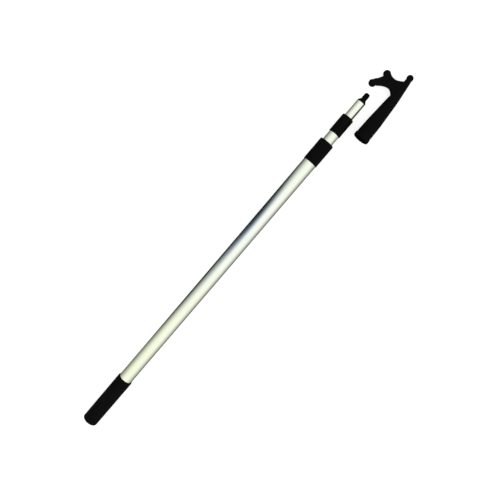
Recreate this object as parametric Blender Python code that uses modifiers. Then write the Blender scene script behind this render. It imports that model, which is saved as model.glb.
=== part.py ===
"""Telescopic boat hook: three nested tubes with twist locks, end collars, a grip and a screw-on head.

Metres, +Z up. The closed pole lies along +X on the plane z = 0 and the unscrewed head lies beside
its tip. The origin is the centre of the footprint. Stations along the pole count from the butt.
"""

import math

import bmesh
import bpy

MM = 0.001
GAP = 0.3 * MM  # between pieces that touch

# Tubes: outside radius and wall
OUTER_R = 15.0 * MM
OUTER_WALL = 1.2 * MM
MIDDLE_R = 11.75 * MM
MIDDLE_WALL = 1.1 * MM
INNER_R = 9.6 * MM
INNER_WALL = 1.0 * MM

# Grip and butt plug
GRIP_R = 17.1 * MM
GRIP_BUTT_R = 16.8 * MM
GRIP_LENGTH = 124.5 * MM
GRIP_END_WALL = 4.0 * MM
GRIP_EDGE = 3.0 * MM
GRIP_EDGE_STEPS = 4
PLUG_FLANGE = 2.0 * MM
PLUG_LENGTH = 20 * MM
PLUG_WALL = 2.0 * MM

# Collars: outside radius, visible span along the pole, end wall and the guide inside the tube
OUTER_COLLAR_R = 16.2 * MM
OUTER_COLLAR_START = 730 * MM
OUTER_COLLAR_END = 783.5 * MM
OUTER_GUIDE_LENGTH = 90 * MM
MIDDLE_COLLAR_R = 13.4 * MM
MIDDLE_COLLAR_START = 805.5 * MM
MIDDLE_COLLAR_END = 848.5 * MM
MIDDLE_GUIDE_LENGTH = 70 * MM
COLLAR_END_WALL = 4.0 * MM
COLLAR_EDGE = 1.2 * MM
SLIDING_GAP = 0.35 * MM  # a tube in the guide it slides through

# Where each sliding tube starts and where the smallest ends, with the pole closed
MIDDLE_FOOT = 70 * MM
INNER_FOOT = 136 * MM
INNER_END = 887 * MM

# Threaded tip
TIP_FLANGE = 3.0 * MM
TIP_FLANGE_R = 9.3 * MM
TIP_CONE = 5.4 * MM
THREAD_R = 6.0 * MM
THREAD_LENGTH = 11.5 * MM
TIP_NOSE = 2.0 * MM
TIP_NOSE_R = 4.6 * MM
TIP_SHANK = 24 * MM

# Twist locks
LOCK_PLUG_LENGTH = 24 * MM
LOCK_PLUG_EDGE = 1.0 * MM
LOCK_FLANGE = 3.0 * MM
STUD_LENGTH = 58 * MM
STUD_INSIDE = 20 * MM  # length of stud held in the plug
STUD_EDGE = 0.5 * MM
MIDDLE_STUD_R = 4.0 * MM
INNER_STUD_R = 3.0 * MM
CLIP_THICKNESS = 1.0 * MM
CLIP_R = 7.0 * MM
CLIP_MOUTH = 4.8 * MM
GROOVE_WIDTH = CLIP_THICKNESS + 2 * GAP
GROOVE_DEPTH = 1.0 * MM
GROOVE_FROM_END = 2.5 * MM
EXPANDER_LENGTH = 20 * MM
EXPANDER_GAP = 0.5 * MM  # between it and the plug's flange
EXPANDER_EDGE = 0.6 * MM
EXPANDER_RIM = 1.6 * MM  # wall round the cone seat's mouth
EXPANDER_PLAY = 0.4 * MM  # round the stud, beyond the usual gap
EXPANDER_SLIT = 2.2 * MM
CONE_SHARE = 0.7  # how much of the cone seat's depth the nut's cone fills
NUT_LENGTH = 5.0 * MM  # behind the expander
NUT_GAP = 0.5 * MM  # between cone and seat, before the nut is drawn in
KEY_WIDTH = 1.4 * MM
KEY_ROOT = 0.6 * MM  # how far the key is sunk into the cone
KEY_SINK = 0.8 * MM  # how far it stays below the expander's outside
KEY_BEHIND = 3.0 * MM  # its length behind the expander
PIN_R = 1.6 * MM
PIN_DEPTH = 12 * MM  # from a tube's end to its cross pin

# Head, in its own frame: X from the mouth along the socket, Y towards the hook's point
LIP_R = 17.1 * MM
LIP_LENGTH = 8.5 * MM
LIP_EDGE = 2.4 * MM
SOCKET_R = 16.1 * MM  # just behind the lip
WAIST_X = 43 * MM
WAIST_R = 15.2 * MM
NECK_X = 105 * MM
NECK_Y = 0.7 * MM
NECK_R = 10.5 * MM
PRONG_X = 146 * MM
PRONG_Y = 1.5 * MM
PRONG_R = 6.0 * MM
SKIRT_R = 13.0 * MM  # cored out between the ribs
SKIRT_DEPTH = 36 * MM
MOUTH_FLARE = 0.5 * MM
MOUTH_RUNOUT = 2 * MM  # how far the bore cutters stand out of the mouth
RIBS = 6
RIB_START = 7 * MM
RIB_WIDTH = 2.4 * MM
TUBE_BORE_R = INNER_R + GAP
TUBE_BORE_DEPTH = 38 * MM
THREAD_BORE_R = THREAD_R + GAP
THREAD_BORE_DEPTH = 60 * MM
DRILL_POINT = 3.0 * MM
HOOK_BALL = (102.4 * MM, 55.3 * MM, 7.4 * MM)  # centre X, Y and radius
KNOB = (135.4 * MM, 44.3 * MM, 7.5 * MM)
TIP_BALL = (158.4 * MM, 2.8 * MM, 6.6 * MM)
ARM_THICKNESS = 12 * MM
ARM_EDGE = 3.2 * MM

# Where the head lies beside the pole
HEAD_MOUTH_STATION = 831.5 * MM
HEAD_OFFSET = 47.3 * MM
HEAD_YAW = math.radians(0.3)
# It lies nose down, on the socket's waist and the tip ball
HEAD_PITCH = math.atan2(WAIST_R - TIP_BALL[2], TIP_BALL[0] - WAIST_X)
HEAD_HEIGHT = TIP_BALL[0] * math.sin(HEAD_PITCH) + TIP_BALL[2]

# The origin is the centre of the footprint, from the butt to the tip ball and from grip to lip
TOTAL_LENGTH = (
    HEAD_MOUTH_STATION
    + TIP_BALL[0] * math.cos(HEAD_PITCH) * math.cos(HEAD_YAW)
    - TIP_BALL[1] * math.sin(HEAD_YAW)
    + TIP_BALL[2]
)
POLE_X = -TOTAL_LENGTH / 2
POLE_Y = (HEAD_OFFSET + LIP_R - GRIP_R) / 2
POLE_Z = GRIP_R

# Finishes: colour, roughness, metallic
ALUMINIUM = ((0.82, 0.82, 0.78), 0.32, 1.0)
PLASTIC = ((0.006, 0.007, 0.007), 0.42, 0.0)
RUBBER = ((0.008, 0.009, 0.009), 0.55, 0.0)
NYLON = ((0.72, 0.71, 0.66), 0.45, 0.0)
STEEL = ((0.55, 0.56, 0.58), 0.3, 1.0)
BRASS = ((0.72, 0.55, 0.28), 0.35, 1.0)

# Sides of the turned shapes
TUBE_STEPS = 48
SMALL_STEPS = 32
PIN_STEPS = 16


def clear_scene():
    for existing in list(bpy.data.objects):
        bpy.data.objects.remove(existing, do_unlink=True)


def new_collection(name):
    collection = bpy.data.collections.new(name)
    bpy.context.scene.collection.children.link(collection)
    return collection


def principled(name, colour, roughness, metallic):
    material = bpy.data.materials.new(name)
    material.use_nodes = True
    shader = material.node_tree.nodes["Principled BSDF"]
    shader.inputs["Base Color"].default_value = (*colour, 1)
    shader.inputs["Roughness"].default_value = roughness
    shader.inputs["Metallic"].default_value = metallic
    return material


def add_object(name, data, collection, parent):
    obj = bpy.data.objects.new(name, data)
    collection.objects.link(obj)
    obj.parent = parent
    return obj


def finish_piece(obj, finish):
    """Give a piece its own material, as (colour, roughness, metallic)."""
    obj.data.materials.append(principled(obj.name, *finish))


def screw_profile(mesh_name, profile, is_ring):
    """A mesh of the profile's points (station, radius), joined in order and closed if it is a ring."""
    area = 0
    for (z0, r0), (z1, r1) in zip(profile, profile[1:] + profile[:1]):
        area += r0 * z1 - r1 * z0
    points = profile if area < 0 else profile[::-1]
    shape = bmesh.new()
    verts = [shape.verts.new((radius, 0, station)) for station, radius in points]
    pairs = zip(verts, verts[1:] + verts[:1]) if is_ring else zip(verts, verts[1:])
    for start, end in pairs:
        shape.edges.new((start, end))
    mesh = bpy.data.meshes.new(mesh_name)
    shape.to_mesh(mesh)
    shape.free()
    return mesh


def turned(name, profile, collection, parent, steps=TUBE_STEPS):
    """Turn a profile of (station, radius) round the local Z axis.

    A profile that starts and ends on the axis makes a solid, any other one a ring.
    """
    is_ring = profile[0][1] > 0 or profile[-1][1] > 0
    obj = add_object(name, screw_profile(name, profile, is_ring), collection, parent)
    spin = obj.modifiers.new("turn", "SCREW")
    spin.axis = "Z"
    spin.steps = steps
    spin.render_steps = steps
    spin.use_merge_vertices = True
    spin.merge_threshold = 0.00001
    spin.use_smooth_shade = True
    return obj


def box(name, size, centre, collection, parent):
    shape = bmesh.new()
    bmesh.ops.create_cube(shape, size=1)
    bmesh.ops.scale(shape, vec=size, verts=shape.verts)
    bmesh.ops.translate(shape, vec=centre, verts=shape.verts)
    mesh = bpy.data.meshes.new(name)
    shape.to_mesh(mesh)
    shape.free()
    return add_object(name, mesh, collection, parent)


def cross_rod(name, radius, length, station, collection, parent):
    """A round rod across the pole, level with the ground, with its ends chamfered."""
    chamfer = radius / 4
    half = length / 2
    profile = [
        (half, 0),
        (half, radius - chamfer),
        (half - chamfer, radius),
        (chamfer - half, radius),
        (-half, radius - chamfer),
        (-half, 0),
    ]
    rod = turned(name, profile, collection, parent, PIN_STEPS)
    rod.location = (0, 0, station)
    rod.rotation_euler = (math.radians(90), 0, 0)
    return rod


def boolean(obj, other, operation, solver="EXACT"):
    step = obj.modifiers.new(f"{operation.lower()} {other.name}", "BOOLEAN")
    step.operation = operation
    step.solver = solver
    step.object = other


def as_helper(obj):
    obj.hide_render = True
    obj.display_type = "WIRE"
    return obj


def tube(name, radius, wall, start, end, scene):
    """A plain tube from one station to another, with lightly chamfered ends."""
    edge = wall / 4
    profile = [
        (end, radius - edge),
        (end - edge, radius),
        (start + edge, radius),
        (start, radius - edge),
        (start, radius - wall),
        (end, radius - wall),
    ]
    return turned(name, profile, scene["parts"], scene["pole"])


def make_grip(scene):
    """Soft sleeve with a closed, rounded butt, a little slimmer there than at its open end."""
    inside = OUTER_R + GAP
    lip = GRIP_EDGE / 3
    profile = [
        (GRIP_END_WALL, 0),
        (GRIP_END_WALL, inside),
        (GRIP_LENGTH, inside),
        (GRIP_LENGTH, GRIP_R - lip),
        (GRIP_LENGTH - lip, GRIP_R),
    ]
    for step in range(GRIP_EDGE_STEPS + 1):
        turn = math.radians(90 * step / GRIP_EDGE_STEPS)
        station = GRIP_EDGE - GRIP_EDGE * math.sin(turn)
        profile.append((station, GRIP_BUTT_R - GRIP_EDGE + GRIP_EDGE * math.cos(turn)))
    profile.append((0, 0))
    grip = turned("grip", profile, scene["parts"], scene["pole"])
    finish_piece(grip, RUBBER)


def make_butt_plug(scene):
    """Cap with a flange on the tube's end and a hollow skirt inside it."""
    flange = GRIP_END_WALL + GAP
    skirt = flange + PLUG_FLANGE
    end = skirt + PLUG_LENGTH
    body = OUTER_R - OUTER_WALL - GAP
    profile = [
        (skirt, 0),
        (skirt, body - PLUG_WALL),
        (end, body - PLUG_WALL),
        (end, body - PLUG_WALL / 4),
        (end - PLUG_WALL / 4, body),
        (skirt, body),
        (skirt, OUTER_R),
        (flange, OUTER_R),
        (flange, 0),
    ]
    plug = turned("butt_plug", profile, scene["parts"], scene["pole"], SMALL_STEPS)
    finish_piece(plug, PLASTIC)


def make_collar(name, radius, start, end, tube_radius, tube_wall, inner_radius, guide_length, scene):
    """Skirt over the tube's end, end wall, and a long guide inside that the next tube slides through."""
    bore = inner_radius + SLIDING_GAP
    shoulder = end - COLLAR_END_WALL
    profile = [
        (end, radius - COLLAR_EDGE),
        (end - 0.3 * COLLAR_EDGE, radius - 0.3 * COLLAR_EDGE),
        (end - COLLAR_EDGE, radius),
        (start + COLLAR_EDGE, radius),
        (start + 0.3 * COLLAR_EDGE, radius - 0.3 * COLLAR_EDGE),
        (start, tube_radius + GAP + 0.2 * COLLAR_EDGE),
        (start, tube_radius + GAP),
        (shoulder, tube_radius + GAP),
        (shoulder, tube_radius - tube_wall - GAP),
        (shoulder - guide_length, tube_radius - tube_wall - GAP),
        (shoulder - guide_length, bore),
        (end - COLLAR_EDGE / 2, bore),
        (end, bore + COLLAR_EDGE / 2),
    ]
    collar = turned(name, profile, scene["parts"], scene["pole"])
    finish_piece(collar, PLASTIC)


def make_tip(scene):
    """Shank pinned in the smallest tube, flange, cone and the stub that the head screws onto."""
    flange_start = INNER_END + GAP
    cone_start = flange_start + TIP_FLANGE
    thread_start = cone_start + TIP_CONE
    thread_end = thread_start + THREAD_LENGTH
    shank_r = INNER_R - INNER_WALL - GAP
    profile = [
        (thread_end + TIP_NOSE, 0),
        (thread_end + TIP_NOSE, TIP_NOSE_R),
        (thread_end + 0.45 * TIP_NOSE, 0.93 * THREAD_R),
        (thread_end, THREAD_R),
        (thread_start, THREAD_R),
        (cone_start + 0.2 * TIP_CONE, TIP_FLANGE_R - 0.5 * MM),
        (cone_start, TIP_FLANGE_R),
        (flange_start, TIP_FLANGE_R),
        (flange_start, shank_r),
        (INNER_END - TIP_SHANK + 1 * MM, shank_r),
        (INNER_END - TIP_SHANK, shank_r - 1 * MM),
        (INNER_END - TIP_SHANK, 0),
    ]
    tip = turned("threaded_tip", profile, scene["parts"], scene["pole"], TUBE_STEPS)
    finish_piece(tip, PLASTIC)
    return tip


def make_lock_plug(prefix, foot, radius, wall, stud_r, scene):
    """Plug in the tube's foot, with a flange on the tube's end and a bore for the stud."""
    inside = radius - wall - GAP
    flange_back = foot - GAP
    flange_face = flange_back - LOCK_FLANGE
    end = foot + LOCK_PLUG_LENGTH
    profile = [
        (end, inside - LOCK_PLUG_EDGE),
        (end - LOCK_PLUG_EDGE, inside),
        (flange_back, inside),
        (flange_back, radius),
        (flange_face, radius),
        (flange_face, stud_r + GAP),
        (end, stud_r + GAP),
    ]
    plug = turned(f"{prefix}_lock_plug", profile, scene["parts"], scene["pole"], SMALL_STEPS)
    finish_piece(plug, NYLON)
    return plug


def make_stud_and_clip(prefix, foot, stud_r, scene):
    """Rod held in the plug, with a groove near its far end for the clip that stops the nut."""
    parts, pole = scene["parts"], scene["pole"]
    end = foot + STUD_INSIDE
    start = end - STUD_LENGTH
    groove = start + GROOVE_FROM_END
    floor_r = stud_r - GROOVE_DEPTH
    stud_profile = [
        (end, 0),
        (end, stud_r - STUD_EDGE),
        (end - STUD_EDGE, stud_r),
        (groove + GROOVE_WIDTH, stud_r),
        (groove + GROOVE_WIDTH, floor_r),
        (groove, floor_r),
        (groove, stud_r),
        (start + STUD_EDGE, stud_r),
        (start, stud_r - STUD_EDGE),
        (start, 0),
    ]
    stud = turned(f"{prefix}_lock_stud", stud_profile, parts, pole, SMALL_STEPS)
    finish_piece(stud, STEEL)

    near = groove + GAP
    far = near + CLIP_THICKNESS
    clip_profile = [(far, CLIP_R), (near, CLIP_R), (near, floor_r + GAP), (far, floor_r + GAP)]
    clip = turned(f"{prefix}_stop_clip", clip_profile, parts, pole, SMALL_STEPS)
    mouth_size = (2 * CLIP_R, CLIP_MOUTH, 4 * CLIP_THICKNESS)
    mouth = box(f"{prefix}_clip_mouth", mouth_size, (CLIP_R, 0, near), scene["helpers"], pole)
    boolean(clip, as_helper(mouth), "DIFFERENCE")
    finish_piece(clip, STEEL)
    return stud


def make_expander_and_nut(prefix, foot, bore_r, stud_r, scene):
    """Slit sleeve that grips the outer tube's bore, and the nut whose cone is drawn into its rear.

    The nut's key sits in the slit, so that the two turn together on the stud.
    """
    parts, pole, helpers = scene["parts"], scene["pole"], scene["helpers"]
    sleeve_r = bore_r - GAP
    front = foot - GAP - LOCK_FLANGE - EXPANDER_GAP
    rear = front - EXPANDER_LENGTH
    hole_r = stud_r + GAP + EXPANDER_PLAY
    seat_r = sleeve_r - EXPANDER_RIM
    seat_depth = EXPANDER_LENGTH / 2
    expander_profile = [
        (front, sleeve_r - EXPANDER_EDGE),
        (front - EXPANDER_EDGE, sleeve_r),
        (rear + EXPANDER_EDGE, sleeve_r),
        (rear, sleeve_r - EXPANDER_EDGE),
        (rear, seat_r),
        (rear + seat_depth, hole_r),
        (front, hole_r),
    ]
    expander = turned(f"{prefix}_expander", expander_profile, parts, pole)
    slit_size = (1.5 * sleeve_r, EXPANDER_SLIT, 2 * EXPANDER_LENGTH)
    slit_centre = (-0.75 * sleeve_r, 0, (front + rear) / 2)
    slit = box(f"{prefix}_slit", slit_size, slit_centre, helpers, pole)
    boolean(expander, as_helper(slit), "DIFFERENCE")
    finish_piece(expander, NYLON)

    cone_length = CONE_SHARE * seat_depth
    nut_r = seat_r - NUT_GAP
    cone_r = nut_r - (seat_r - hole_r) * CONE_SHARE
    nut_rear = rear - NUT_LENGTH
    nut_profile = [
        (rear + cone_length, cone_r),
        (rear, nut_r),
        (nut_rear, nut_r),
        (nut_rear, stud_r + GAP),
        (rear + cone_length, stud_r + GAP),
    ]
    nut = turned(f"{prefix}_cone_nut", nut_profile, parts, pole, SMALL_STEPS)
    key_inner = cone_r - KEY_ROOT
    key_outer = sleeve_r - KEY_SINK
    key_rear = rear - KEY_BEHIND
    key_front = rear + 0.6 * seat_depth
    key_size = (key_outer - key_inner, KEY_WIDTH, key_front - key_rear)
    key_centre = (-(key_outer + key_inner) / 2, 0, (key_front + key_rear) / 2)
    key = box(f"{prefix}_key", key_size, key_centre, helpers, pole)
    boolean(nut, as_helper(key), "UNION")
    finish_piece(nut, BRASS)


def pin_through(name, tube_radius, station, held, scene):
    """A cross pin at the station, and a hole for it through each of the held pieces."""
    helpers, pole = scene["helpers"], scene["pole"]
    hole = cross_rod(f"{name}_hole", PIN_R + GAP, 3 * tube_radius, station, helpers, pole)
    for piece in held:
        boolean(piece, as_helper(hole), "DIFFERENCE")
    pin = cross_rod(name, PIN_R, 2 * (tube_radius - GAP), station, scene["parts"], pole)
    finish_piece(pin, STEEL)


def make_lock(prefix, foot, radius, wall, bore_r, stud_r, scene):
    """The twist lock behind one tube's foot. bore_r is the inside of the tube that it grips."""
    plug = make_lock_plug(prefix, foot, radius, wall, stud_r, scene)
    stud = make_stud_and_clip(prefix, foot, stud_r, scene)
    make_expander_and_nut(prefix, foot, bore_r, stud_r, scene)
    held = [plug, stud, bpy.data.objects[f"{prefix}_tube"]]
    pin_through(f"{prefix}_plug_pin", radius, foot + PIN_DEPTH, held, scene)


def mesh_from_curve(curve_object):
    """Replace a curve object with the welded mesh that it makes."""
    bpy.context.view_layer.update()
    evaluated = curve_object.evaluated_get(bpy.context.evaluated_depsgraph_get())
    mesh = bpy.data.meshes.new_from_object(evaluated)
    shape = bmesh.new()
    shape.from_mesh(mesh)
    bmesh.ops.remove_doubles(shape, verts=shape.verts, dist=0.00001)
    bmesh.ops.recalc_face_normals(shape, faces=shape.faces)
    shape.to_mesh(mesh)
    shape.free()
    made = add_object(
        curve_object.name + "_mesh", mesh, curve_object.users_collection[0], curve_object.parent
    )
    bpy.data.objects.remove(curve_object)
    return made


def head_spine(scene):
    """Round body of the head, full width at the socket and tapering along its straight back."""
    curve = bpy.data.curves.new("head_spine", "CURVE")
    curve.dimensions = "3D"
    curve.bevel_depth = 1
    curve.bevel_resolution = 10
    curve.use_fill_caps = True
    line = curve.splines.new("POLY")
    stations = [
        (2 * MM, 0, SOCKET_R),
        (WAIST_X, 0, WAIST_R),
        (NECK_X, NECK_Y, NECK_R),
        (PRONG_X, PRONG_Y, PRONG_R),
        (TIP_BALL[0], TIP_BALL[1], 0.8 * TIP_BALL[2]),
    ]
    line.points.add(len(stations) - 1)
    for point, (along, across, radius) in zip(line.points, stations):
        point.co = (along, across, 0, 1)
        point.radius = radius
    return mesh_from_curve(add_object("head_spine", curve, scene["helpers"], scene["head"]))


def head_arms(scene):
    """Flat web of the hook arm, the knob and the fork, with rounded edges."""
    outline = [
        (NECK_X + 3.4 * MM, NECK_R + 0.3 * MM),
        (112.2 * MM, 14.3 * MM),
        (115.2 * MM, 18.7 * MM),
        (116.2 * MM, 23.8 * MM),
        (114.4 * MM, 31.4 * MM),
        (110.0 * MM, 39.7 * MM),
        (HOOK_BALL[0] + 2.4 * MM, HOOK_BALL[1] - 8.4 * MM),
        (HOOK_BALL[0] - 0.5 * MM, HOOK_BALL[1]),
        (HOOK_BALL[0] + 4.6 * MM, HOOK_BALL[1] + 3.0 * MM),
        (116.6 * MM, 52.0 * MM),
        (125.6 * MM, 47.4 * MM),
        (KNOB[0] - 1.0 * MM, KNOB[1] + 3.0 * MM),
        (KNOB[0] + 3.0 * MM, KNOB[1] - 2.0 * MM),
        (135.6 * MM, 31.4 * MM),
        (135.4 * MM, 23.8 * MM),
        (138.6 * MM, 15.6 * MM),
        (143.4 * MM, 8.0 * MM),
        (PRONG_X, PRONG_Y + 3.0 * MM),
        (PRONG_X - 3.0 * MM, PRONG_Y - 2.0 * MM),
        (NECK_X - 4.0 * MM, NECK_Y - 4.0 * MM),
        (NECK_X - 4.0 * MM, NECK_Y + 4.0 * MM),
    ]
    corners = {0, 16, 17, 18, 19, 20}
    curve = bpy.data.curves.new("head_arms", "CURVE")
    curve.dimensions = "2D"
    curve.fill_mode = "BOTH"
    curve.extrude = ARM_THICKNESS / 2
    curve.resolution_u = 3
    line = curve.splines.new("BEZIER")
    line.use_cyclic_u = True
    line.bezier_points.add(len(outline) - 1)
    for index, (point, (along, across)) in enumerate(zip(line.bezier_points, outline)):
        point.co = (along, across, 0)
        kind = "VECTOR" if index in corners else "AUTO"
        point.handle_left_type = kind
        point.handle_right_type = kind
    arms = mesh_from_curve(add_object("head_arms", curve, scene["helpers"], scene["head"]))
    bevel = arms.modifiers.new("rounded", "BEVEL")
    bevel.width = ARM_EDGE
    bevel.segments = 2
    bevel.limit_method = "ANGLE"
    bevel.angle_limit = math.radians(60)
    return arms


def head_ball(name, ball, scene):
    shape = bmesh.new()
    bmesh.ops.create_uvsphere(shape, u_segments=20, v_segments=12, radius=ball[2])
    mesh = bpy.data.meshes.new(name)
    shape.to_mesh(mesh)
    shape.free()
    obj = add_object(name, mesh, scene["helpers"], scene["head"])
    obj.location = (ball[0], ball[1], 0)
    return obj


def head_cutter(name, profile, scene):
    cutter = turned(name, profile, scene["helpers"], scene["head"])
    cutter.rotation_euler = (0, math.radians(90), 0)
    return as_helper(cutter)


def head_hollow(scene):
    """Cutter that cores the socket out to its skirt, with a flared mouth."""
    profile = [
        (SKIRT_DEPTH, 0),
        (SKIRT_DEPTH, SKIRT_R - 0.6 * MM),
        (MOUTH_FLARE, SKIRT_R),
        (0, SKIRT_R + MOUTH_FLARE),
        (-MOUTH_RUNOUT, SKIRT_R + MOUTH_FLARE),
        (-MOUTH_RUNOUT, 0),
    ]
    return head_cutter("head_hollow", profile, scene)


def head_rib(index, scene):
    """One radial rib that steadies the smallest tube inside the skirt."""
    end = SKIRT_DEPTH + 2 * MM
    inner = TUBE_BORE_R - 2 * MM
    outer = SKIRT_R + 1.2 * MM
    rib = box(
        f"head_rib_{index}",
        (end - RIB_START, outer - inner, RIB_WIDTH),
        ((RIB_START + end) / 2, (outer + inner) / 2, 0),
        scene["helpers"],
        scene["head"],
    )
    rib.rotation_euler = (2 * math.pi * (index + 0.5) / RIBS, 0, 0)
    return as_helper(rib)


def head_bore(scene):
    """Cutter for the smallest tube's bore and the threaded bore behind it."""
    profile = [
        (THREAD_BORE_DEPTH + DRILL_POINT, 0),
        (THREAD_BORE_DEPTH, THREAD_BORE_R),
        (TUBE_BORE_DEPTH + 1 * MM, THREAD_BORE_R),
        (TUBE_BORE_DEPTH, TUBE_BORE_R),
        (-MOUTH_RUNOUT, TUBE_BORE_R),
        (-MOUTH_RUNOUT, 0),
    ]
    return head_cutter("head_bore", profile, scene)


def make_head(scene):
    """Socket lip, tapering body, web, knobs and balls in one moulding, cored out from the mouth."""
    profile = [
        (LIP_LENGTH, 0),
        (LIP_LENGTH, LIP_R - 1.6 * MM),
        (LIP_LENGTH - 1.0 * MM, LIP_R),
        (LIP_EDGE, LIP_R),
        (0.3 * LIP_EDGE, LIP_R - 0.3 * LIP_EDGE),
        (0, LIP_R - LIP_EDGE),
        (0, 0),
    ]
    head = turned("hook_head", profile, scene["parts"], scene["head"])
    head.rotation_euler = (0, math.radians(90), 0)
    additions = [
        head_spine(scene),
        head_arms(scene),
        head_ball("hook_ball", HOOK_BALL, scene),
        head_ball("fork_knob", KNOB, scene),
        head_ball("tip_ball", TIP_BALL, scene),
    ]
    steps = [(as_helper(addition), "UNION") for addition in additions]
    steps.append((head_hollow(scene), "DIFFERENCE"))
    steps += [(head_rib(index, scene), "UNION") for index in range(RIBS)]
    steps.append((head_bore(scene), "DIFFERENCE"))
    for other, operation in steps:
        # The exact solver loses the body where the web's rounded edge grazes a ball
        boolean(head, other, operation, "MANIFOLD")
    finish_piece(head, PLASTIC)


def make_tubes(scene):
    outer_end = OUTER_COLLAR_END - COLLAR_END_WALL - GAP
    middle_end = MIDDLE_COLLAR_END - COLLAR_END_WALL - GAP
    outer_start = GRIP_END_WALL + GAP + PLUG_FLANGE + GAP
    spans = [
        ("outer_tube", OUTER_R, OUTER_WALL, outer_start, outer_end),
        ("middle_tube", MIDDLE_R, MIDDLE_WALL, MIDDLE_FOOT, middle_end),
        ("inner_tube", INNER_R, INNER_WALL, INNER_FOOT, INNER_END),
    ]
    for span in spans:
        finish_piece(tube(*span, scene), ALUMINIUM)


def make_tip_and_pin(scene):
    held = [make_tip(scene), bpy.data.objects["inner_tube"]]
    pin_through("tip_pin", INNER_R, INNER_END - PIN_DEPTH, held, scene)


def make_empty(name, location, rotation, collection):
    empty = add_object(name, None, collection, None)
    empty.location = location
    empty.rotation_euler = rotation
    return empty


def main():
    clear_scene()
    parts = new_collection("boat_hook")
    scene = {"parts": parts, "helpers": new_collection("cutters_and_helpers")}
    scene["pole"] = make_empty(
        "pole_axis", (POLE_X, POLE_Y, POLE_Z), (0, math.radians(90), 0), parts
    )
    scene["head"] = make_empty(
        "head_axis",
        (POLE_X + HEAD_MOUTH_STATION, POLE_Y - HEAD_OFFSET, HEAD_HEIGHT),
        (0, HEAD_PITCH, HEAD_YAW),
        parts,
    )
    make_tubes(scene)
    make_grip(scene)
    make_butt_plug(scene)
    make_collar(
        "outer_collar", OUTER_COLLAR_R, OUTER_COLLAR_START, OUTER_COLLAR_END,
        OUTER_R, OUTER_WALL, MIDDLE_R, OUTER_GUIDE_LENGTH, scene,
    )
    make_collar(
        "middle_collar", MIDDLE_COLLAR_R, MIDDLE_COLLAR_START, MIDDLE_COLLAR_END,
        MIDDLE_R, MIDDLE_WALL, INNER_R, MIDDLE_GUIDE_LENGTH, scene,
    )
    make_lock("middle", MIDDLE_FOOT, MIDDLE_R, MIDDLE_WALL, OUTER_R - OUTER_WALL, MIDDLE_STUD_R, scene)
    make_lock("inner", INNER_FOOT, INNER_R, INNER_WALL, MIDDLE_R - MIDDLE_WALL, INNER_STUD_R, scene)
    make_tip_and_pin(scene)
    make_head(scene)


main()
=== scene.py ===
"""Looks of the telescopic boat hook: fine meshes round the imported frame, finishes, floor, light, camera."""

import math

import bmesh
import bpy
import numpy as np
from mathutils import Matrix, Vector


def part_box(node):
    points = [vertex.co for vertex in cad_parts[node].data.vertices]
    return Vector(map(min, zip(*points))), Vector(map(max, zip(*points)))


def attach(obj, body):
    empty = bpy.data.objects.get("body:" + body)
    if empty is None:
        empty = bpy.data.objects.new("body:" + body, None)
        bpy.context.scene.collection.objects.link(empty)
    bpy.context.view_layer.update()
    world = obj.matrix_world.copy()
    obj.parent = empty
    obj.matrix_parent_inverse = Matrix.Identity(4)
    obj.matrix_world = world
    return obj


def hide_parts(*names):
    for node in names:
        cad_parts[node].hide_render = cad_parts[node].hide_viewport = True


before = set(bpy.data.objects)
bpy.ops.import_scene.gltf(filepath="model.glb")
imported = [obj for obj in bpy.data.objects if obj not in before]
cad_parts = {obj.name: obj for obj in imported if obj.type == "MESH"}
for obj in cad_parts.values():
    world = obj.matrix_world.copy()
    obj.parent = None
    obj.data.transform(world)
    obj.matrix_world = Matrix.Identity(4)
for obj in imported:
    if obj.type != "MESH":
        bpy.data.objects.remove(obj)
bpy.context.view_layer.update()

MM = 0.001

# Camera: it looks down at the object, leaning back along the pole, and the pole runs up to the right
CAMERA_PLACE = (0.12088, 0.00005, 1.14268)
CAMERA_LEAN = math.radians(5.4)
CAMERA_ROLL = math.radians(49.4)
CAMERA_LENS = 38.88
CAMERA_SENSOR = 36

# Sizes shared by several pieces
FINE = 144  # sides of the turned pieces
COARSE = 64  # sides of the small turned pieces
ARC = 5  # steps in a rounded corner
GAP = 0.3 * MM
PIN_HOLE_R = 1.9 * MM

# Pole, with stations counted from its butt
TUBE_WALLS = {"outer_tube": 1.2 * MM, "middle_tube": 1.1 * MM, "inner_tube": 1.0 * MM}
COLLAR_SPANS = {"outer_collar": 53.5 * MM, "middle_collar": 43 * MM}  # visible length
PLUG_PIN_STATION = 82 * MM
TIP_PIN_STATION = 875 * MM
PIN_EDGE = 0.4 * MM
SLIDING_GAP = 0.35 * MM  # a tube in the guide it slides through
SEAM_ANGLE = math.radians(55)
SEAM_HEIGHT = 0.12 * MM
SEAM_SPREAD = 0.02  # half width, as a share of the radius

# Grip
GRIP_FLOOR = 4 * MM
GRIP_TAPER = 0.3 * MM
GRIP_BUTT_EDGE = 3.4 * MM
GRIP_RIM_EDGE = 1.0 * MM
GRIP_DIMPLE_R = 2.6 * MM
GRIP_DIMPLE = 0.5 * MM

# Threaded tip
TIP_FLANGE = 3.0 * MM
TIP_NECK = 5.4 * MM
TIP_FLARE = 2.2 * MM  # length of the steep part of the neck
TIP_FLARE_DROP = 1.9 * MM
TIP_CREST_R = 6.0 * MM
TIP_NOSE = 2.0 * MM
TIP_NOSE_R = 4.6 * MM
TIP_ROW = 0.14 * MM  # between the rings of points along the thread
TIP_SIDES = 96

# Threads
TIP_PITCH = 2.3 * MM
TIP_THREAD_DEPTH = 0.75 * MM
THREAD_PLAY = 0.15 * MM
THREAD_FADE = 0.7  # turns over which a thread starts and ends

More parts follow.
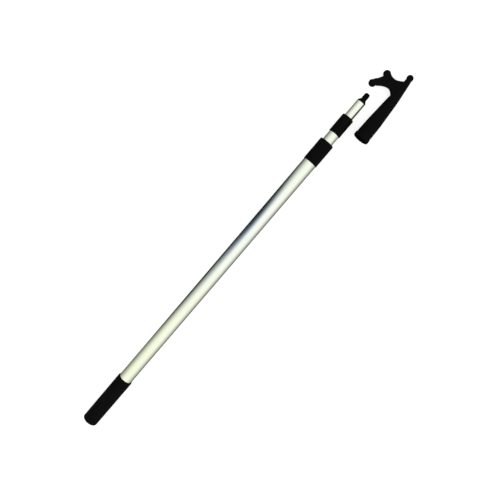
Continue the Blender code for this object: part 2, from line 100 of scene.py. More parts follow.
# Head, in its own frame: X from the mouth along the socket, Y towards the hook's point
HEAD_MOUTH_STATION = 831.5 * MM
HEAD_OFFSET = 47.3 * MM
HEAD_YAW = math.radians(0.3)
LIP_R = 17.0 * MM
LIP_LENGTH = 8.5 * MM
WAIST_X = 43 * MM
WAIST_R = 15.2 * MM
SPINE_SOFTENING = 7 * MM  # how far a change of taper is spread each way
SPINE_ROW = 2.2 * MM
SPINE_ROWS = 72
SPINE = [
    (2 * MM, 0, 16.1 * MM),
    (WAIST_X, 0, WAIST_R),
    (105 * MM, 0.7 * MM, 10.5 * MM),
    (146 * MM, 1.5 * MM, 6.0 * MM),
    (158.4 * MM, 2.8 * MM, 5.3 * MM),
]
HOOK_BALL = (102.4 * MM, 55.3 * MM, 7.4 * MM)
KNOB = (135.4 * MM, 44.3 * MM, 7.5 * MM)
TIP_BALL = (158.4 * MM, 2.8 * MM, 6.6 * MM)
ARM_THICKNESS = 12 * MM
ARM_EDGE = 3.6 * MM
HEAD_VOXEL = 0.5 * MM
HEAD_SOFTENING = 16  # passes
HEAD_PLUMP = 0.5 * MM
PLUMP_START = 50 * MM
PLUMP_FADE = 40 * MM
HEAD_SEAM = (0.10 * MM, 0.75 * MM)  # height and half width
HEAD_SEAM_START = 12 * MM
HEAD_SEAM_FADE = 4 * MM
SKIRT_R = 13.0 * MM
SKIRT_DEPTH = 36 * MM
RIBS = 6
RIB_WIDTH = 2.4 * MM
TUBE_BORE_R = 9.9 * MM
TUBE_BORE_DEPTH = 38 * MM
HEAD_THREAD_R = 6.0 * MM
HEAD_THREAD_END = 60 * MM
BORE_ROW = 0.16 * MM

# Floor and lamp
FLOOR_SIZE = 16
FLOOR_DROP = 0.05 * MM
LAMP_PLACE = (-0.5, -1.4, 2.2)
LAMP_SIZE = 2.4
LAMP_POWER = 6

# Surroundings: colours, and where they change along a reflected ray's direction, as (from, to) pairs.
# X is along the pole towards the head, Y to the far side, Z up.
WHITE = (1.12, 1.12, 1.12)
WARM_SKY = (1.11, 1.13, 0.97)
COOL_SKY = (1.14, 1.12, 1.17)
COOL_RISE = (-0.40, -0.02)
PALE_SKY = (1.11, 1.12, 1.06)
PALE_RISE = (0.10, 0.25)
GROUND = (0.35, 0.36, 0.28)
GROUND_FADE = (-0.5, 0.6)
BLUE_SIDE = (1.06, 1.17, 1.60)
BLUE_WINDOW = ((-0.12, -0.02), (0.04, 0.12))
BLUE_FADE = (-0.15, 0.6)
FLAG = (0.22, 0.38, 0.60)
FLAG_RISES = (((-0.32, -0.11), 0.35), ((-0.09, -0.01), 0.65))  # each with its share
FLAG_FALL = (0.115, 0.195)
FLAG_POWER = 3
FLAG_DEPTH = 0.97
SIDE_POWER = 1.6
SIDE_DEPTH = 0.40
LOW_FADE = (-0.9, -0.35)
LOW_LIGHT = 0.25
EDGE_WINDOW = ((-0.36, -0.27), (0.12, 0.24))
EDGE_FADE = (-0.5, 0)
EDGE_SIDE = (0, 0.3)
EDGE_DEPTH = 0.95


# ---------------------------------------------------------------- meshes


def rounded(points, is_ring, steps=ARC):
    """The outline through (along, across, corner radius) points, with each corner turned into an arc."""
    outline = []
    count = len(points)
    for index, (along, across, radius) in enumerate(points):
        here = Vector((along, across))
        is_end = not is_ring and index in (0, count - 1)
        if radius <= 0 or is_end:
            outline.append(tuple(here))
            continue
        before = Vector(points[index - 1][:2]) - here
        after = Vector(points[(index + 1) % count][:2]) - here
        half = before.angle(after) / 2
        reach = radius / math.tan(half)
        before.normalize()
        after.normalize()
        centre = here + (before + after).normalized() * radius / math.sin(half)
        first = here + before * reach - centre
        last = here + after * reach - centre
        for step in range(steps + 1):
            outward = first.lerp(last, step / steps).normalized()
            outline.append(tuple(centre + outward * radius))
    return outline


def turned(name, outline, place, sides=FINE, swell=None):
    """A mesh of the outline's (along, radius) points turned round the local X axis.

    An outline with both ends on the axis makes a solid, any other one a ring.
    swell(along, radius, angle) adds to the radius.
    """
    is_ring = outline[0][1] > 0 or outline[-1][1] > 0
    rows = outline if is_ring else outline[1:-1]
    angles = [2 * math.pi * side / sides for side in range(sides)]
    points = []
    for along, radius in rows:
        for angle in angles:
            reach = radius + (swell(along, radius, angle) if swell else 0)
            points.append((along, reach * math.cos(angle), reach * math.sin(angle)))
    faces = []
    last = len(rows) if is_ring else len(rows) - 1
    for row in range(last):
        here = row * sides
        there = (row + 1) % len(rows) * sides
        for side in range(sides):
            after = (side + 1) % sides
            faces.append((here + side, here + after, there + after, there + side))
    if not is_ring:
        for row, along in ((0, outline[0][0]), (len(rows) - 1, outline[-1][0])):
            points.append((along, 0, 0))
            centre = len(points) - 1
            for side in range(sides):
                faces.append((row * sides + side, row * sides + (side + 1) % sides, centre))
    return mesh_object(name, points, faces, place)


def mesh_object(name, points, faces, place):
    mesh = bpy.data.meshes.new(name)
    mesh.from_pydata(points, [], faces)
    shape = bmesh.new()
    shape.from_mesh(mesh)
    bmesh.ops.recalc_face_normals(shape, faces=shape.faces)
    shape.to_mesh(mesh)
    shape.free()
    return link(bpy.data.objects.new(name, mesh), place)


def link(obj, place=None):
    bpy.context.scene.collection.objects.link(obj)
    if place is not None:
        obj.matrix_world = place
    return obj


def smooth(obj, angle=30):
    obj.data.shade_smooth()
    obj.data.set_sharp_from_angle(angle=math.radians(angle))
    return obj


def apply_modifiers(obj):
    bpy.context.view_layer.update()
    evaluated = obj.evaluated_get(bpy.context.evaluated_depsgraph_get())
    mesh = bpy.data.meshes.new_from_object(evaluated)
    obj.modifiers.clear()
    obj.data = mesh
    return obj


def combine(obj, others, operation, solver="MANIFOLD"):
    """Cut the others from obj, or join them to it, and remove them."""
    for other in others:
        step = obj.modifiers.new(other.name, "BOOLEAN")
        step.operation = operation
        step.solver = solver
        step.object = other
    apply_modifiers(obj)
    for other in others:
        bpy.data.objects.remove(other)
    return obj


def cross_rod(name, radius, length, along, place, chamfer=0):
    """A round rod across the pole, level with the ground."""
    half = length / 2
    outline = rounded(
        [(-half, 0, 0), (-half, radius, chamfer), (half, radius, chamfer), (half, 0, 0)], False
    )
    turn = Matrix.Translation((along, 0, 0)) @ Matrix.Rotation(math.radians(90), 4, "Z")
    return turned(name, outline, place @ turn, COARSE)


def ridge(along, angle, start, end, pitch, depth):
    """Height of a rounded right-handed thread, which fades in and out over most of a turn.

    `wave` is 0 in the middle of the root and 1 on the crest. The root is flat up to 0.22.
    """
    turn = (along - start) / pitch - angle / (2 * math.pi)
    wave = abs(2 * (turn % 1) - 1)
    flank = min(max((wave - 0.22) / 0.5, 0), 1)
    run_in = min(max((along - start) / (THREAD_FADE * pitch), 0), 1)
    run_out = min(max((end - along) / (THREAD_FADE * pitch), 0), 1)
    fade = run_in * run_out
    return depth * flank * flank * (3 - 2 * flank) * fade


def stretch(start, end, radius, step):
    """Evenly spaced points along a straight run of an outline."""
    count = max(2, round(abs(end - start) / step))
    return [(start + (end - start) * index / count, radius) for index in range(count + 1)]


# ---------------------------------------------------------------- places


def pole_place():
    """Local X is the station along the pole from its butt, on the tubes' axis."""
    low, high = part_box("outer_tube")
    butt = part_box("grip")[0].x
    return Matrix.Translation((butt, (low.y + high.y) / 2, (low.z + high.z) / 2))


def head_place(pole):
    """The head lies nose down beside the pole, on its socket's waist and its tip ball."""
    pitch = math.atan2(WAIST_R - TIP_BALL[2], TIP_BALL[0] - WAIST_X)
    height = TIP_BALL[0] * math.sin(pitch) + TIP_BALL[2]
    butt = pole.translation
    mouth = Vector((butt.x + HEAD_MOUTH_STATION, butt.y - HEAD_OFFSET, height))
    return (
        Matrix.Translation(mouth)
        @ Matrix.Rotation(HEAD_YAW, 4, "Z")
        @ Matrix.Rotation(pitch, 4, "Y")
    )


def span(node, pole):
    """(start station, end station, outside radius) of a turned node."""
    low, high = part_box(node)
    butt = pole.translation.x
    return low.x - butt, high.x - butt, (high.z - low.z) / 2


def finish(obj, node, body, material):
    """Stand the piece for its CAD node, on its body, in its material, with its frame baked into its mesh."""
    obj.data.transform(obj.matrix_world)
    obj.matrix_world = Matrix.Identity(4)
    obj.data.materials.clear()
    obj.data.materials.append(material)
    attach(obj, body)
    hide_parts(node)
    return obj


# ---------------------------------------------------------------- materials


class Tree:
    """Small helper for building a node tree. A value is another node's output, a number or a colour."""

    def __init__(self, tree):
        self.tree = tree

    def add(self, kind, **settings):
        node = self.tree.nodes.new(kind)
        for key, value in settings.items():
            setattr(node, key, value)
        return node

    def link(self, output, target):
        self.tree.links.new(output, target)

    def feed(self, socket, value):
        if isinstance(value, bpy.types.NodeSocket):
            self.link(value, socket)
        elif isinstance(value, tuple):
            socket.default_value = (*value, 1)
        else:
            socket.default_value = value

    def between(self, value, low, high, out_low=0, out_high=1):
        """Goes from out_low to out_high as the value goes from low to high."""
        node = self.add("ShaderNodeMapRange", clamp=True)
        node.inputs["From Min"].default_value = low
        node.inputs["From Max"].default_value = high
        node.inputs["To Min"].default_value = out_low
        node.inputs["To Max"].default_value = out_high
        self.link(value, node.inputs["Value"])
        return node.outputs["Result"]

    def math(self, operation, first, second):
        node = self.add("ShaderNodeMath", operation=operation)
        self.feed(node.inputs[0], first)
        self.feed(node.inputs[1], second)
        return node.outputs["Value"]

    def mix(self, share, first, second):
        """A colour that goes from first to second as the share goes from 0 to 1."""
        node = self.add("ShaderNodeMix", data_type="RGBA")
        self.link(share, node.inputs["Factor"])
        self.feed(node.inputs["A"], first)
        self.feed(node.inputs["B"], second)
        return node.outputs["Result"]


class Nodes(Tree):
    """A material's node tree, on one Principled shader."""

    def __init__(self, name):
        self.material = bpy.data.materials.new(name)
        self.material.use_nodes = True
        super().__init__(self.material.node_tree)
        self.shader = self.tree.nodes["Principled BSDF"]
        self.place = self.add("ShaderNodeTexCoord").outputs["Object"]

    def mapped(self, scale):
        node = self.add("ShaderNodeMapping")
        node.inputs["Scale"].default_value = scale
        self.link(self.place, node.inputs["Vector"])
        return node.outputs["Vector"]

    def noise(self, scale, detail=4, roughness=0.6, stretched=(1, 1, 1)):
        """Noise with `scale` features a metre, stretched along an axis where that factor is below 1."""
        node = self.add("ShaderNodeTexNoise")
        node.inputs["Scale"].default_value = scale
        node.inputs["Detail"].default_value = detail
        node.inputs["Roughness"].default_value = roughness
        self.link(self.mapped(stretched), node.inputs["Vector"])
        return node.outputs["Fac"]

    def spots(self, scale):
        node = self.add("ShaderNodeTexVoronoi")
        node.inputs["Scale"].default_value = scale
        self.link(self.mapped((1, 1, 1)), node.inputs["Vector"])
        return node.outputs["Distance"]

    def bump(self, height, strength, distance):
        """Raise the surface by the height, on top of any earlier bump."""
        node = self.add("ShaderNodeBump")
        node.inputs["Strength"].default_value = strength
        node.inputs["Distance"].default_value = distance
        self.link(height, node.inputs["Height"])
        normal = self.shader.inputs["Normal"]
        if normal.is_linked:
            self.link(normal.links[0].from_socket, node.inputs["Normal"])
        self.link(node.outputs["Normal"], normal)

    def paint(self, value, low, high):
        """Base colour from low to high as the value goes from 0 to 1."""
        self.link(self.mix(value, low, high), self.shader.inputs["Base Color"])

    def roughen(self, value):
        self.link(value, self.shader.inputs["Roughness"])

    def set(self, **sockets):
        for name, value in sockets.items():
            self.shader.inputs[name.replace("_", " ")].default_value = value


def anodised(name, scuffs):
    """Clear anodised aluminium tube: grain drawn along it, a warm-to-cool drift, and rubbed places."""
    m = Nodes(name)
    m.set(Metallic=1.0)
    grain = m.noise(2600, 3, 0.7, (0.006, 1, 1))
    fine_grain = m.noise(7000, 2, 0.6, (0.02, 1, 1))
    drift = m.noise(9, 2, 0.5)
    blush = m.noise(40, 5, 0.65, (0.5, 1, 1))
    tone = m.math("ADD", m.math("MULTIPLY", drift, 0.55), m.math("MULTIPLY", blush, 0.45))
    tone = m.math("ADD", tone, m.between(grain, 0.3, 0.7, -0.1, 0.1))
    m.paint(tone, (0.80, 0.84, 0.74), (0.86, 0.89, 0.81))
    rough = m.between(m.math("ADD", grain, m.math("MULTIPLY", blush, 0.5)), 0.5, 1.0, 0.17, 0.24)
    if scuffs:
        rubbed = m.noise(700, 4, 0.75, (1, 0.05, 0.05))
        rough = m.math("ADD", rough, m.between(rubbed, 0.62, 0.72, 0, scuffs))
    m.roughen(rough)
    m.bump(grain, 0.18, 0.00006)
    m.bump(fine_grain, 0.12, 0.00003)
    return m.material


def black_plastic(name):
    """Moulded black plastic: fine spark-eroded grain, faint flow marks, uneven gloss from handling."""
    m = Nodes(name)
    m.set(Specular_IOR_Level=0.03)
    flow = m.noise(60, 4, 0.6, (0.35, 1, 1))
    handled = m.noise(24, 5, 0.62)
    m.paint(flow, (0.0012, 0.0013, 0.0014), (0.0030, 0.0031, 0.0033))
    eroded = m.noise(2400, 3, 0.55)
    rough = m.math("ADD", m.between(handled, 0.35, 0.7, 0.36, 0.54), m.between(eroded, 0.3, 0.7, -0.04, 0.04))
    m.roughen(rough)
    m.bump(flow, 0.25, 0.00025)
    m.bump(eroded, 0.5, 0.00006)
    return m.material


def soft_grip(name):
    """Dipped soft grip: leathery pebble, matt, a little paler where it is worn."""
    m = Nodes(name)
    m.set(Specular_IOR_Level=0.035)
    worn = m.noise(35, 5, 0.7)
    pebble = m.spots(1100)
    m.paint(m.between(worn, 0.4, 0.75), (0.0014, 0.0015, 0.0015), (0.0036, 0.0037, 0.0037))
    rough = m.math("ADD", m.between(worn, 0.3, 0.7, 0.52, 0.68), m.between(pebble, 0, 0.6, 0.05, -0.03))
    m.roughen(rough)
    m.bump(worn, 0.25, 0.0003)
    m.bump(m.between(pebble, 0, 0.6), 0.45, 0.00012)
    return m.material


def nylon(name):
    """Natural nylon, milky, with a faint grain."""
    m = Nodes(name)
    m.set(Specular_IOR_Level=0.45, Subsurface_Weight=0.15, Subsurface_Scale=0.002)
    cloud = m.noise(180, 4, 0.6)
    m.paint(cloud, (0.62, 0.60, 0.53), (0.74, 0.73, 0.67))
    m.roughen(m.between(cloud, 0.3, 0.7, 0.38, 0.52))
    m.bump(m.noise(2500, 3), 0.3, 0.00004)
    return m.material


def turned_metal(name, low, high):
    """Turned metal: fine rings round the pole's axis and a slight tarnish."""
    m = Nodes(name)
    m.set(Metallic=1.0)
    tarnish = m.noise(260, 5, 0.65)
    rings = m.noise(5000, 2, 0.5, (1, 0.01, 0.01))
    m.paint(tarnish, low, high)
    rough = m.math("ADD", m.between(tarnish, 0.3, 0.7, 0.2, 0.34), m.between(rings, 0.3, 0.7, -0.05, 0.05))
    m.roughen(rough)
    m.bump(rings, 0.3, 0.00004)
    return m.material


def floor_material():
    """White sweep, lit from behind as well as from above, so that its shadows stay faint."""
    m = Nodes("studio_floor")
    m.paint(m.noise(3, 2), (0.40, 0.40, 0.40), (0.41, 0.41, 0.41))
    m.set(Roughness=0.9, Specular_IOR_Level=0.1, Emission_Color=(1, 1, 1, 1), Emission_Strength=0.72)
    return m.material


# ---------------------------------------------------------------- pole


def make_tube(node, body, pin_station, material, pole):
    start, end, radius = span(node, pole)
    wall = TUBE_WALLS[node]
    edge = wall / 4
    outline = rounded(
        [
            (start, radius - wall, edge),
            (start, radius, edge),
            (end, radius, edge),
            (end, radius - wall, edge),
        ],
        True,
        3,
    )
    piece = turned(node + "_drawn", outline, pole)
    if pin_station:
        hole = cross_rod(node + "_hole", PIN_HOLE_R, 4 * radius, pin_station, pole)
        combine(piece, [hole], "DIFFERENCE")
    smooth(piece)
    finish(piece, node, body, material)


def make_grip(material, pole):
    start, end, radius = span("grip", pole)
    inside = span("outer_tube", pole)[2] + GAP
    floor = start + GRIP_FLOOR
    dimple = start + GRIP_DIMPLE
    outline = rounded(
        [
            (floor, 0, 0),
            (floor, inside, 0.6 * MM),
            (end, inside, 0.35 * MM),
            (end, radius, GRIP_RIM_EDGE),
            (start, radius - GRIP_TAPER, GRIP_BUTT_EDGE),
            (start, GRIP_DIMPLE_R + 0.8 * MM, 0.3 * MM),
            (dimple, GRIP_DIMPLE_R, 0.3 * MM),
            (dimple, 0, 0),
        ],
        False,
        8,
    )
    piece = smooth(turned("grip_sleeve", outline, pole))
    finish(piece, "grip", "outer_section", material)


def parting_line(angle):
    """Height of the low seams left by the two halves of a mould, at opposite sides of a turned piece."""
    across = math.sin(angle - SEAM_ANGLE)
    return SEAM_HEIGHT * math.exp(-((across / SEAM_SPREAD) ** 2))


def make_collar(node, body, tube_node, inner_node, material, pole):
    """Skirt over the tube's end, rounded nose, and the guide inside that the next tube slides through."""
    tube_wall = TUBE_WALLS[tube_node]
    tube_end, tube_r = span(tube_node, pole)[1:]
    node_start, node_end, radius = span(node, pole)
    bore = span(inner_node, pole)[2] + SLIDING_GAP
    skirt_start = node_end - COLLAR_SPANS[node]
    shoulder = tube_end + GAP
    outline = rounded(
        [
            (skirt_start, tube_r + GAP, 0),
            (skirt_start, radius, 0.9 * MM),
            (node_end, radius, 1.5 * MM),
            (node_end, bore, 0.7 * MM),
            (node_start, bore, 0.3 * MM),
            (node_start, tube_r - tube_wall - GAP, 0.3 * MM),
            (shoulder, tube_r - tube_wall - GAP, 0),
            (shoulder, tube_r + GAP, 0),
        ],
        True,
    )

    def swell(along, rim, angle):
        is_outside = rim > tube_r + 0.5 * MM and skirt_start + 2 * MM < along < node_end - 2 * MM
        return parting_line(angle) if is_outside else 0

    piece = smooth(turned(node + "_moulding", outline, pole, swell=swell))
    finish(piece, node, body, material)


def make_tip(material, pole):
    """Shank, flange, flared neck and threaded stub with a rounded nose."""
    start, end, radius = span("threaded_tip", pole)
    tube_end, tube_r = span("inner_tube", pole)[1:]
    flange = tube_end + GAP
    neck = flange + TIP_FLANGE
    thread_start = neck + TIP_NECK
    nose = end - TIP_NOSE
    root = TIP_CREST_R - TIP_THREAD_DEPTH
    shank = tube_r - TUBE_WALLS["inner_tube"] - GAP
    outline = rounded(
        [
            (start, 0, 0),
            (start, shank, 1.0 * MM),
            (flange, shank, 0.2 * MM),
            (flange, radius, 0.4 * MM),
            (neck, radius, 0.7 * MM),
            (neck + TIP_FLARE, radius - TIP_FLARE_DROP, 1.6 * MM),
            (thread_start, root + 0.25 * MM, 0.8 * MM),
            (thread_start + 0.6 * MM, root, 0),
        ],
        False,
    )
    outline += stretch(thread_start + 0.7 * MM, nose, root, TIP_ROW)[1:]
    outline += rounded([(nose, root, 0), (end, TIP_NOSE_R, 0.5 * MM), (end, 0, 0)], False)[1:]

    def swell(along, rim, angle):
        if along < thread_start:
            return 0
        return ridge(along, angle, thread_start, nose + 0.6 * MM, TIP_PITCH, TIP_THREAD_DEPTH)

    piece = turned("threaded_tip_moulding", outline, pole, TIP_SIDES, swell)
    hole = cross_rod("tip_hole", PIN_HOLE_R, 4 * radius, TIP_PIN_STATION, pole)
    combine(piece, [hole], "DIFFERENCE")
    smooth(piece, 35)
    finish(piece, "threaded_tip", "inner_section", material)


def make_pin(node, body, material, pole):
    low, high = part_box(node)
    radius = (high.z - low.z) / 2
    along = (low.x + high.x) / 2 - pole.translation.x
    piece = smooth(cross_rod(node + "_turned", radius, high.y - low.y, along, pole, PIN_EDGE))
    finish(piece, node, body, material)


# ---------------------------------------------------------------- head


def spine_at(along):
    """(sideways offset, radius) of the head's body, with its changes of taper rounded off."""
    stations, offsets, radii = (np.array(column) for column in zip(*SPINE))
    spread = np.linspace(-SPINE_SOFTENING, SPINE_SOFTENING, 15)
    weights = np.cos(spread / SPINE_SOFTENING * math.pi / 2) ** 2
    samples = np.clip(along + spread, stations[0], stations[-1])
    offset = np.average(np.interp(samples, stations, offsets), weights=weights)
    radius = np.average(np.interp(samples, stations, radii), weights=weights)
    return offset, radius


def head_spine(place):
    sides = FINE
    rows = [SPINE[0][0] + index * SPINE_ROW for index in range(SPINE_ROWS)]
    points = []
    faces = []
    for along in rows:
        offset, radius = spine_at(along)
        for side in range(sides):
            angle = 2 * math.pi * side / sides
            points.append((along, offset + radius * math.cos(angle), radius * math.sin(angle)))
    for row in range(len(rows) - 1):
        for side in range(sides):
            after = (side + 1) % sides
            here = row * sides
            faces.append((here + side, here + after, here + sides + after, here + sides + side))
    faces.append(tuple(range(sides)))
    faces.append(tuple(range(len(rows) * sides - sides, len(rows) * sides)))
    return mesh_object("head_spine", points, faces, place)


def head_arms(place):
    """Flat web of the hook arm, the knob and the fork, with rounded edges."""
    neck_x, neck_y, neck_r = SPINE[2]
    prong_x, prong_y = SPINE[3][:2]
    outline = [
        (neck_x + 3.4 * MM, neck_r + 0.3 * MM),
        (112.2 * MM, 14.3 * MM),
        (115.2 * MM, 18.7 * MM),
        (116.2 * MM, 23.8 * MM),
        (114.4 * MM, 31.4 * MM),
        (110.0 * MM, 39.7 * MM),
        (HOOK_BALL[0] + 2.4 * MM, HOOK_BALL[1] - 8.4 * MM),
        (HOOK_BALL[0] - 0.5 * MM, HOOK_BALL[1]),
        (HOOK_BALL[0] + 4.6 * MM, HOOK_BALL[1] + 3.0 * MM),
        (116.6 * MM, 52.0 * MM),
        (125.6 * MM, 47.4 * MM),
        (KNOB[0] - 1.0 * MM, KNOB[1] + 3.0 * MM),
        (KNOB[0] + 3.0 * MM, KNOB[1] - 2.0 * MM),
        (135.6 * MM, 31.4 * MM),
        (135.4 * MM, 23.8 * MM),
        (138.6 * MM, 15.6 * MM),
        (143.4 * MM, 8.0 * MM),
        (prong_x, prong_y + 3.0 * MM),
        (prong_x - 3.0 * MM, prong_y - 2.0 * MM),
        (neck_x - 4.0 * MM, neck_y - 4.0 * MM),
        (neck_x - 4.0 * MM, neck_y + 4.0 * MM),
    ]
    corners = {0, 16, 17, 18, 19, 20}  # sharp: the roots at neck and prong, and the points inside the body
    curve = bpy.data.curves.new("head_arms", "CURVE")
    curve.dimensions = "2D"
    curve.fill_mode = "BOTH"
    curve.extrude = ARM_THICKNESS / 2
    curve.resolution_u = 10
    line = curve.splines.new("BEZIER")
    line.use_cyclic_u = True
    line.bezier_points.add(len(outline) - 1)
    for index, (point, (along, across)) in enumerate(zip(line.bezier_points, outline)):
        point.co = (along, across, 0)
        kind = "VECTOR" if index in corners else "AUTO"
        point.handle_left_type = kind
        point.handle_right_type = kind
    drawn = link(bpy.data.objects.new("head_arms_outline", curve))
    bpy.context.view_layer.update()
    mesh = bpy.data.meshes.new_from_object(drawn.evaluated_get(bpy.context.evaluated_depsgraph_get()))
    bpy.data.objects.remove(drawn)
    shape = bmesh.new()
    shape.from_mesh(mesh)
    bmesh.ops.remove_doubles(shape, verts=shape.verts, dist=0.00001)
    bmesh.ops.recalc_face_normals(shape, faces=shape.faces)
    shape.to_mesh(mesh)
    shape.free()
    arms = link(bpy.data.objects.new("head_arms", mesh), place)
    bevel = arms.modifiers.new("rounded", "BEVEL")
    bevel.width = ARM_EDGE
    bevel.segments = 4
    bevel.limit_method = "ANGLE"
    bevel.angle_limit = math.radians(60)
    return apply_modifiers(arms)


def head_ball(name, ball, place):
    shape = bmesh.new()
    bmesh.ops.create_icosphere(shape, subdivisions=5, radius=ball[2])
    mesh = bpy.data.meshes.new(name)
    shape.to_mesh(mesh)
    shape.free()
    return link(bpy.data.objects.new(name, mesh), place @ Matrix.Translation((ball[0], ball[1], 0)))


def join(first, others):
    """One mesh of all the pieces as they are, in the first one's frame."""
    shape = bmesh.new()
    shape.from_mesh(first.data)
    for other in others:
        other.data.transform(first.matrix_world.inverted() @ other.matrix_world)
        shape.from_mesh(other.data)
        bpy.data.objects.remove(other)
    shape.to_mesh(first.data)
    shape.free()
    return first


def melt(obj, voxel, passes):
    """Fuse overlapping shapes into one skin and soften the creases between them."""
    remesh = obj.modifiers.new("fuse", "REMESH")
    remesh.mode = "VOXEL"
    remesh.voxel_size = voxel
    remesh.adaptivity = 0
    soften = obj.modifiers.new("soften", "SMOOTH")
    soften.factor = 0.5
    soften.iterations = passes
    return apply_modifiers(obj)


def points_and_normals(mesh):
    count = len(mesh.vertices)
    points = np.zeros(count * 3)
    normals = np.zeros(count * 3)
    mesh.vertices.foreach_get("co", points)
    mesh.vertex_normals.foreach_get("vector", normals)
    return points.reshape(-1, 3), normals.reshape(-1, 3)


def move_points(mesh, points):
    mesh.vertices.foreach_set("co", points.ravel())
    mesh.update()


def plump(obj, height):
    """Give back sideways what softening took from the web, knob and balls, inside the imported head's box."""
    points, normals = points_and_normals(obj.data)
    lift = height * np.clip((points[:, 0] - PLUMP_START) / PLUMP_FADE, 0, 1)
    points[:, :2] += normals[:, :2] * lift[:, None]
    inverse = obj.matrix_world.inverted()
    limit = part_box("hook_head")[1].x
    for index, point in enumerate(points):
        there = obj.matrix_world @ Vector(point)
        if there.x > limit:
            points[index] = inverse @ Vector((limit, there.y, there.z))
    move_points(obj.data, points)


def seam(obj, height, width):
    """Raise the mould's parting line along the head's own XY plane, between the lip and the ball tip."""
    points, normals = points_and_normals(obj.data)
    lift = height * np.exp(-((points[:, 2] / width) ** 2))
    lift *= np.clip((points[:, 0] - HEAD_SEAM_START) / HEAD_SEAM_FADE, 0, 1)
    lift *= np.clip((TIP_BALL[0] - points[:, 0]) / HEAD_SEAM_FADE, 0, 1)
    points += normals * lift[:, None]
    move_points(obj.data, points)


def head_cavity(place):
    """The skirt with its ribs left standing, the smallest tube's bore and the threaded bore."""
    runout = 2 * MM
    hollow = turned(
        "head_hollow",
        rounded(
            [
                (-runout, 0, 0),
                (-runout, SKIRT_R + 0.8 * MM, 0),
                (0, SKIRT_R + 0.8 * MM, 0),
                (0.8 * MM, SKIRT_R, 0.5 * MM),
                (SKIRT_DEPTH, SKIRT_R - 0.6 * MM, 1.2 * MM),
                (SKIRT_DEPTH, 0, 0),
            ],
            False,
        ),
        place,
    )
    ribs = []
    for index in range(RIBS):
        shape = bmesh.new()
        bmesh.ops.create_cube(shape, size=1)
        start, end = 7 * MM, SKIRT_DEPTH + 2 * MM
        inner, outer = TUBE_BORE_R - 2 * MM, SKIRT_R + 1.6 * MM
        bmesh.ops.scale(shape, vec=(end - start, outer - inner, RIB_WIDTH), verts=shape.verts)
        bmesh.ops.translate(shape, vec=((start + end) / 2, (outer + inner) / 2, 0), verts=shape.verts)
        bmesh.ops.bevel(
            shape, geom=list(shape.edges), offset=0.4 * MM, segments=3, affect="EDGES", profile=0.5
        )
        mesh = bpy.data.meshes.new(f"rib_{index}")
        shape.to_mesh(mesh)
        shape.free()
        turn = Matrix.Rotation(2 * math.pi * (index + 0.5) / RIBS, 4, "X")
        ribs.append(link(bpy.data.objects.new(f"rib_{index}", mesh), place @ turn))
    combine(hollow, ribs, "DIFFERENCE")
    root = HEAD_THREAD_R - TIP_THREAD_DEPTH + THREAD_PLAY
    outline = [(-runout, 0), (-runout, TUBE_BORE_R)]
    outline += [(TUBE_BORE_DEPTH, TUBE_BORE_R), (TUBE_BORE_DEPTH + 1 * MM, root + 0.6 * MM)]
    outline += stretch(TUBE_BORE_DEPTH + 1.6 * MM, HEAD_THREAD_END, root, BORE_ROW)
    outline += [(HEAD_THREAD_END + 3 * MM, 0)]

    def swell(along, rim, angle):
        if along <= TUBE_BORE_DEPTH + 1.2 * MM:
            return 0
        return ridge(along, angle, TUBE_BORE_DEPTH, HEAD_THREAD_END, TIP_PITCH, TIP_THREAD_DEPTH)

    bore = turned("head_bore", outline, place, TIP_SIDES, swell)
    return combine(hollow, [bore], "UNION")


def make_head(material, pole):
    place = head_place(pole)
    head = join(
        head_spine(place),
        [
            head_arms(place),
            head_ball("hook_ball", HOOK_BALL, place),
            head_ball("fork_knob", KNOB, place),
            head_ball("tip_ball", TIP_BALL, place),
        ],
    )
    melt(head, HEAD_VOXEL, HEAD_SOFTENING)
    plump(head, HEAD_PLUMP)
    seam(head, *HEAD_SEAM)
    lip_end = LIP_LENGTH + 0.5 * MM
    lip_outline = rounded(
        [
            (0, 0, 0),
            (0, LIP_R, 1.2 * MM),
            (LIP_LENGTH, LIP_R, 0.8 * MM),
            (lip_end, 15.0 * MM, 0.0),
            (lip_end, 0, 0),
        ],
        False,
    )
    lip = turned("head_lip", lip_outline, place)
    combine(head, [lip], "UNION")
    combine(head, [head_cavity(place)], "DIFFERENCE")
    head.name = "hook_head_moulding"
    smooth(head, 32)
    finish(head, "hook_head", "head", material)


# ---------------------------------------------------------------- lock pieces inside the tubes


def dress_lock_pieces(finishes):
    """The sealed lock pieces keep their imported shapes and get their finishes."""
    for prefix in ("middle", "inner"):
        section = prefix + "_section"
        for piece, slot in (
            ("lock_plug", "nylon"),
            ("lock_stud", "steel"),
            ("expander", "nylon"),
            ("cone_nut", "brass"),
            ("stop_clip", "steel"),
        ):
            dress(f"{prefix}_{piece}", finishes[slot])
        make_pin(prefix + "_plug_pin", section, finishes["steel"], pole_place())
    dress("butt_plug", finishes["black_plastic"])


def dress(node, material):
    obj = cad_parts[node]
    for material_slot in obj.material_slots:
        material_slot.material = material


# ---------------------------------------------------------------- studio


def make_floor():
    bpy.ops.mesh.primitive_plane_add(size=FLOOR_SIZE, location=(0, 0, -FLOOR_DROP))
    floor = bpy.context.object
    floor.name = "floor"
    floor.data.materials.append(floor_material())
    floor.visible_glossy = False


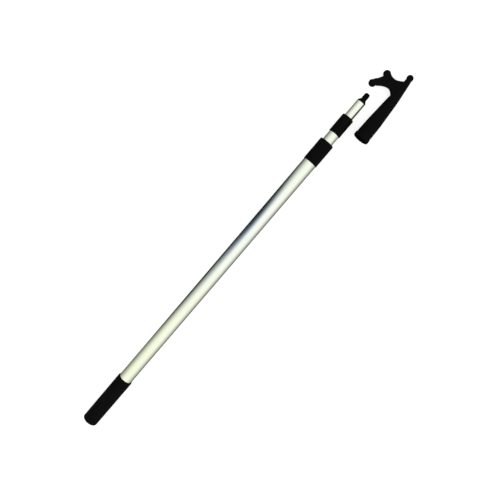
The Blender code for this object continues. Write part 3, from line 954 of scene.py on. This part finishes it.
def make_world():
    """White surroundings, which only reflections see in more detail.

    They show a warm to cool sky over a grey ground, dimmer low down. The far side is dimmer too, with a
    dark blue flag in blue surroundings and a darker stretch under it.
    """
    world = bpy.data.worlds.new("studio")
    bpy.context.scene.world = world
    world.use_nodes = True
    w = Tree(world.node_tree)
    direction = w.add("ShaderNodeSeparateXYZ")
    w.link(w.add("ShaderNodeTexCoord").outputs["Generated"], direction.inputs["Vector"])
    x, y, z = direction.outputs

    def window(rise, fall):
        """1 along X from the end of the rise to the start of the fall, and 0 outside them."""
        return w.math("MULTIPLY", w.between(x, *rise), w.between(x, *fall, 1, 0))

    def dimmer(share, depth):
        """How much light is left where a share of it, times the depth, is taken away."""
        return w.math("SUBTRACT", 1, w.math("MULTIPLY", share, depth))

    far_side = w.between(y, 0, 1)
    sky = w.mix(w.between(x, *COOL_RISE), WARM_SKY, COOL_SKY)
    sky = w.mix(w.between(x, *PALE_RISE), sky, PALE_SKY)
    seen = w.mix(w.between(z, *GROUND_FADE), GROUND, sky)
    blue_share = w.math("MULTIPLY", window(*BLUE_WINDOW), w.between(y, *BLUE_FADE))
    seen = w.mix(blue_share, seen, BLUE_SIDE)
    rises = [w.between(x, *rise, 0, share) for rise, share in FLAG_RISES]
    flag = w.math("MULTIPLY", w.math("ADD", *rises), w.between(x, *FLAG_FALL, 1, 0))
    seen = w.mix(w.math("MULTIPLY", flag, far_side), seen, FLAG)

    whole_side = dimmer(w.math("POWER", far_side, SIDE_POWER), SIDE_DEPTH)
    flag_part = dimmer(w.math("POWER", far_side, FLAG_POWER), w.math("MULTIPLY", flag, FLAG_DEPTH))
    strength = w.math("MULTIPLY", whole_side, flag_part)
    strength = w.math("MULTIPLY", strength, w.between(z, *LOW_FADE, LOW_LIGHT, 1))
    low_part = w.math("MULTIPLY", w.between(z, *EDGE_FADE, 1, 0), w.between(y, *EDGE_SIDE))
    low_part = w.math("MULTIPLY", window(*EDGE_WINDOW), low_part)
    strength = w.math("MULTIPLY", strength, dimmer(low_part, EDGE_DEPTH))

    reflected = w.add("ShaderNodeLightPath").outputs["Is Glossy Ray"]
    background = w.tree.nodes["Background"]
    w.link(w.mix(reflected, WHITE, seen), background.inputs["Color"])
    plain = w.math("SUBTRACT", 1, reflected)
    strength = w.math("ADD", plain, w.math("MULTIPLY", reflected, strength))
    w.link(strength, background.inputs["Strength"])


def make_light():
    lamp = bpy.data.lights.new("soft_overhead", "AREA")
    lamp.shape = "DISK"
    lamp.size = LAMP_SIZE
    lamp.energy = LAMP_POWER
    light = link(bpy.data.objects.new("soft_overhead", lamp))
    light.visible_glossy = False
    light.location = LAMP_PLACE
    direction = -light.location
    light.rotation_euler = direction.to_track_quat("-Z", "Y").to_euler()


def make_camera():
    data = bpy.data.cameras.new("camera")
    data.lens = CAMERA_LENS
    data.sensor_width = CAMERA_SENSOR
    data.clip_start = 0.01
    camera = link(bpy.data.objects.new("camera", data))
    along = Vector((math.cos(CAMERA_LEAN), 0, -math.sin(CAMERA_LEAN)))
    across = Vector((0, -1, 0))
    right = along * math.cos(CAMERA_ROLL) + across * math.sin(CAMERA_ROLL)
    up = along * math.sin(CAMERA_ROLL) - across * math.cos(CAMERA_ROLL)
    turn = Matrix((right, up, right.cross(up))).transposed().to_4x4()
    camera.matrix_world = Matrix.Translation(CAMERA_PLACE) @ turn
    bpy.context.scene.camera = camera


# ---------------------------------------------------------------- assembly


def main():
    bpy.context.scene.view_settings.view_transform = "Standard"
    make_camera()
    make_world()
    make_light()
    make_floor()
    pole = pole_place()
    finishes = {
        "black_plastic": black_plastic("moulded_black"),
        "nylon": nylon("natural_nylon"),
        "steel": turned_metal("turned_steel", (0.46, 0.47, 0.49), (0.62, 0.63, 0.65)),
        "brass": turned_metal("turned_brass", (0.58, 0.42, 0.19), (0.76, 0.60, 0.32)),
    }
    fixed = anodised("anodised_outer", 0)
    sliding = anodised("anodised_sliding", 0.08)
    make_tube("outer_tube", "outer_section", None, fixed, pole)
    make_tube("middle_tube", "middle_section", PLUG_PIN_STATION, sliding, pole)
    make_tube("inner_tube", "inner_section", TIP_PIN_STATION, sliding, pole)
    make_grip(soft_grip("grip_soft"), pole)
    black = finishes["black_plastic"]
    make_collar("outer_collar", "outer_section", "outer_tube", "middle_tube", black, pole)
    make_collar("middle_collar", "middle_section", "middle_tube", "inner_tube", black, pole)
    make_tip(black, pole)
    make_pin("tip_pin", "inner_section", finishes["steel"], pole)
    make_head(black, pole)
    dress_lock_pieces(finishes)


main()
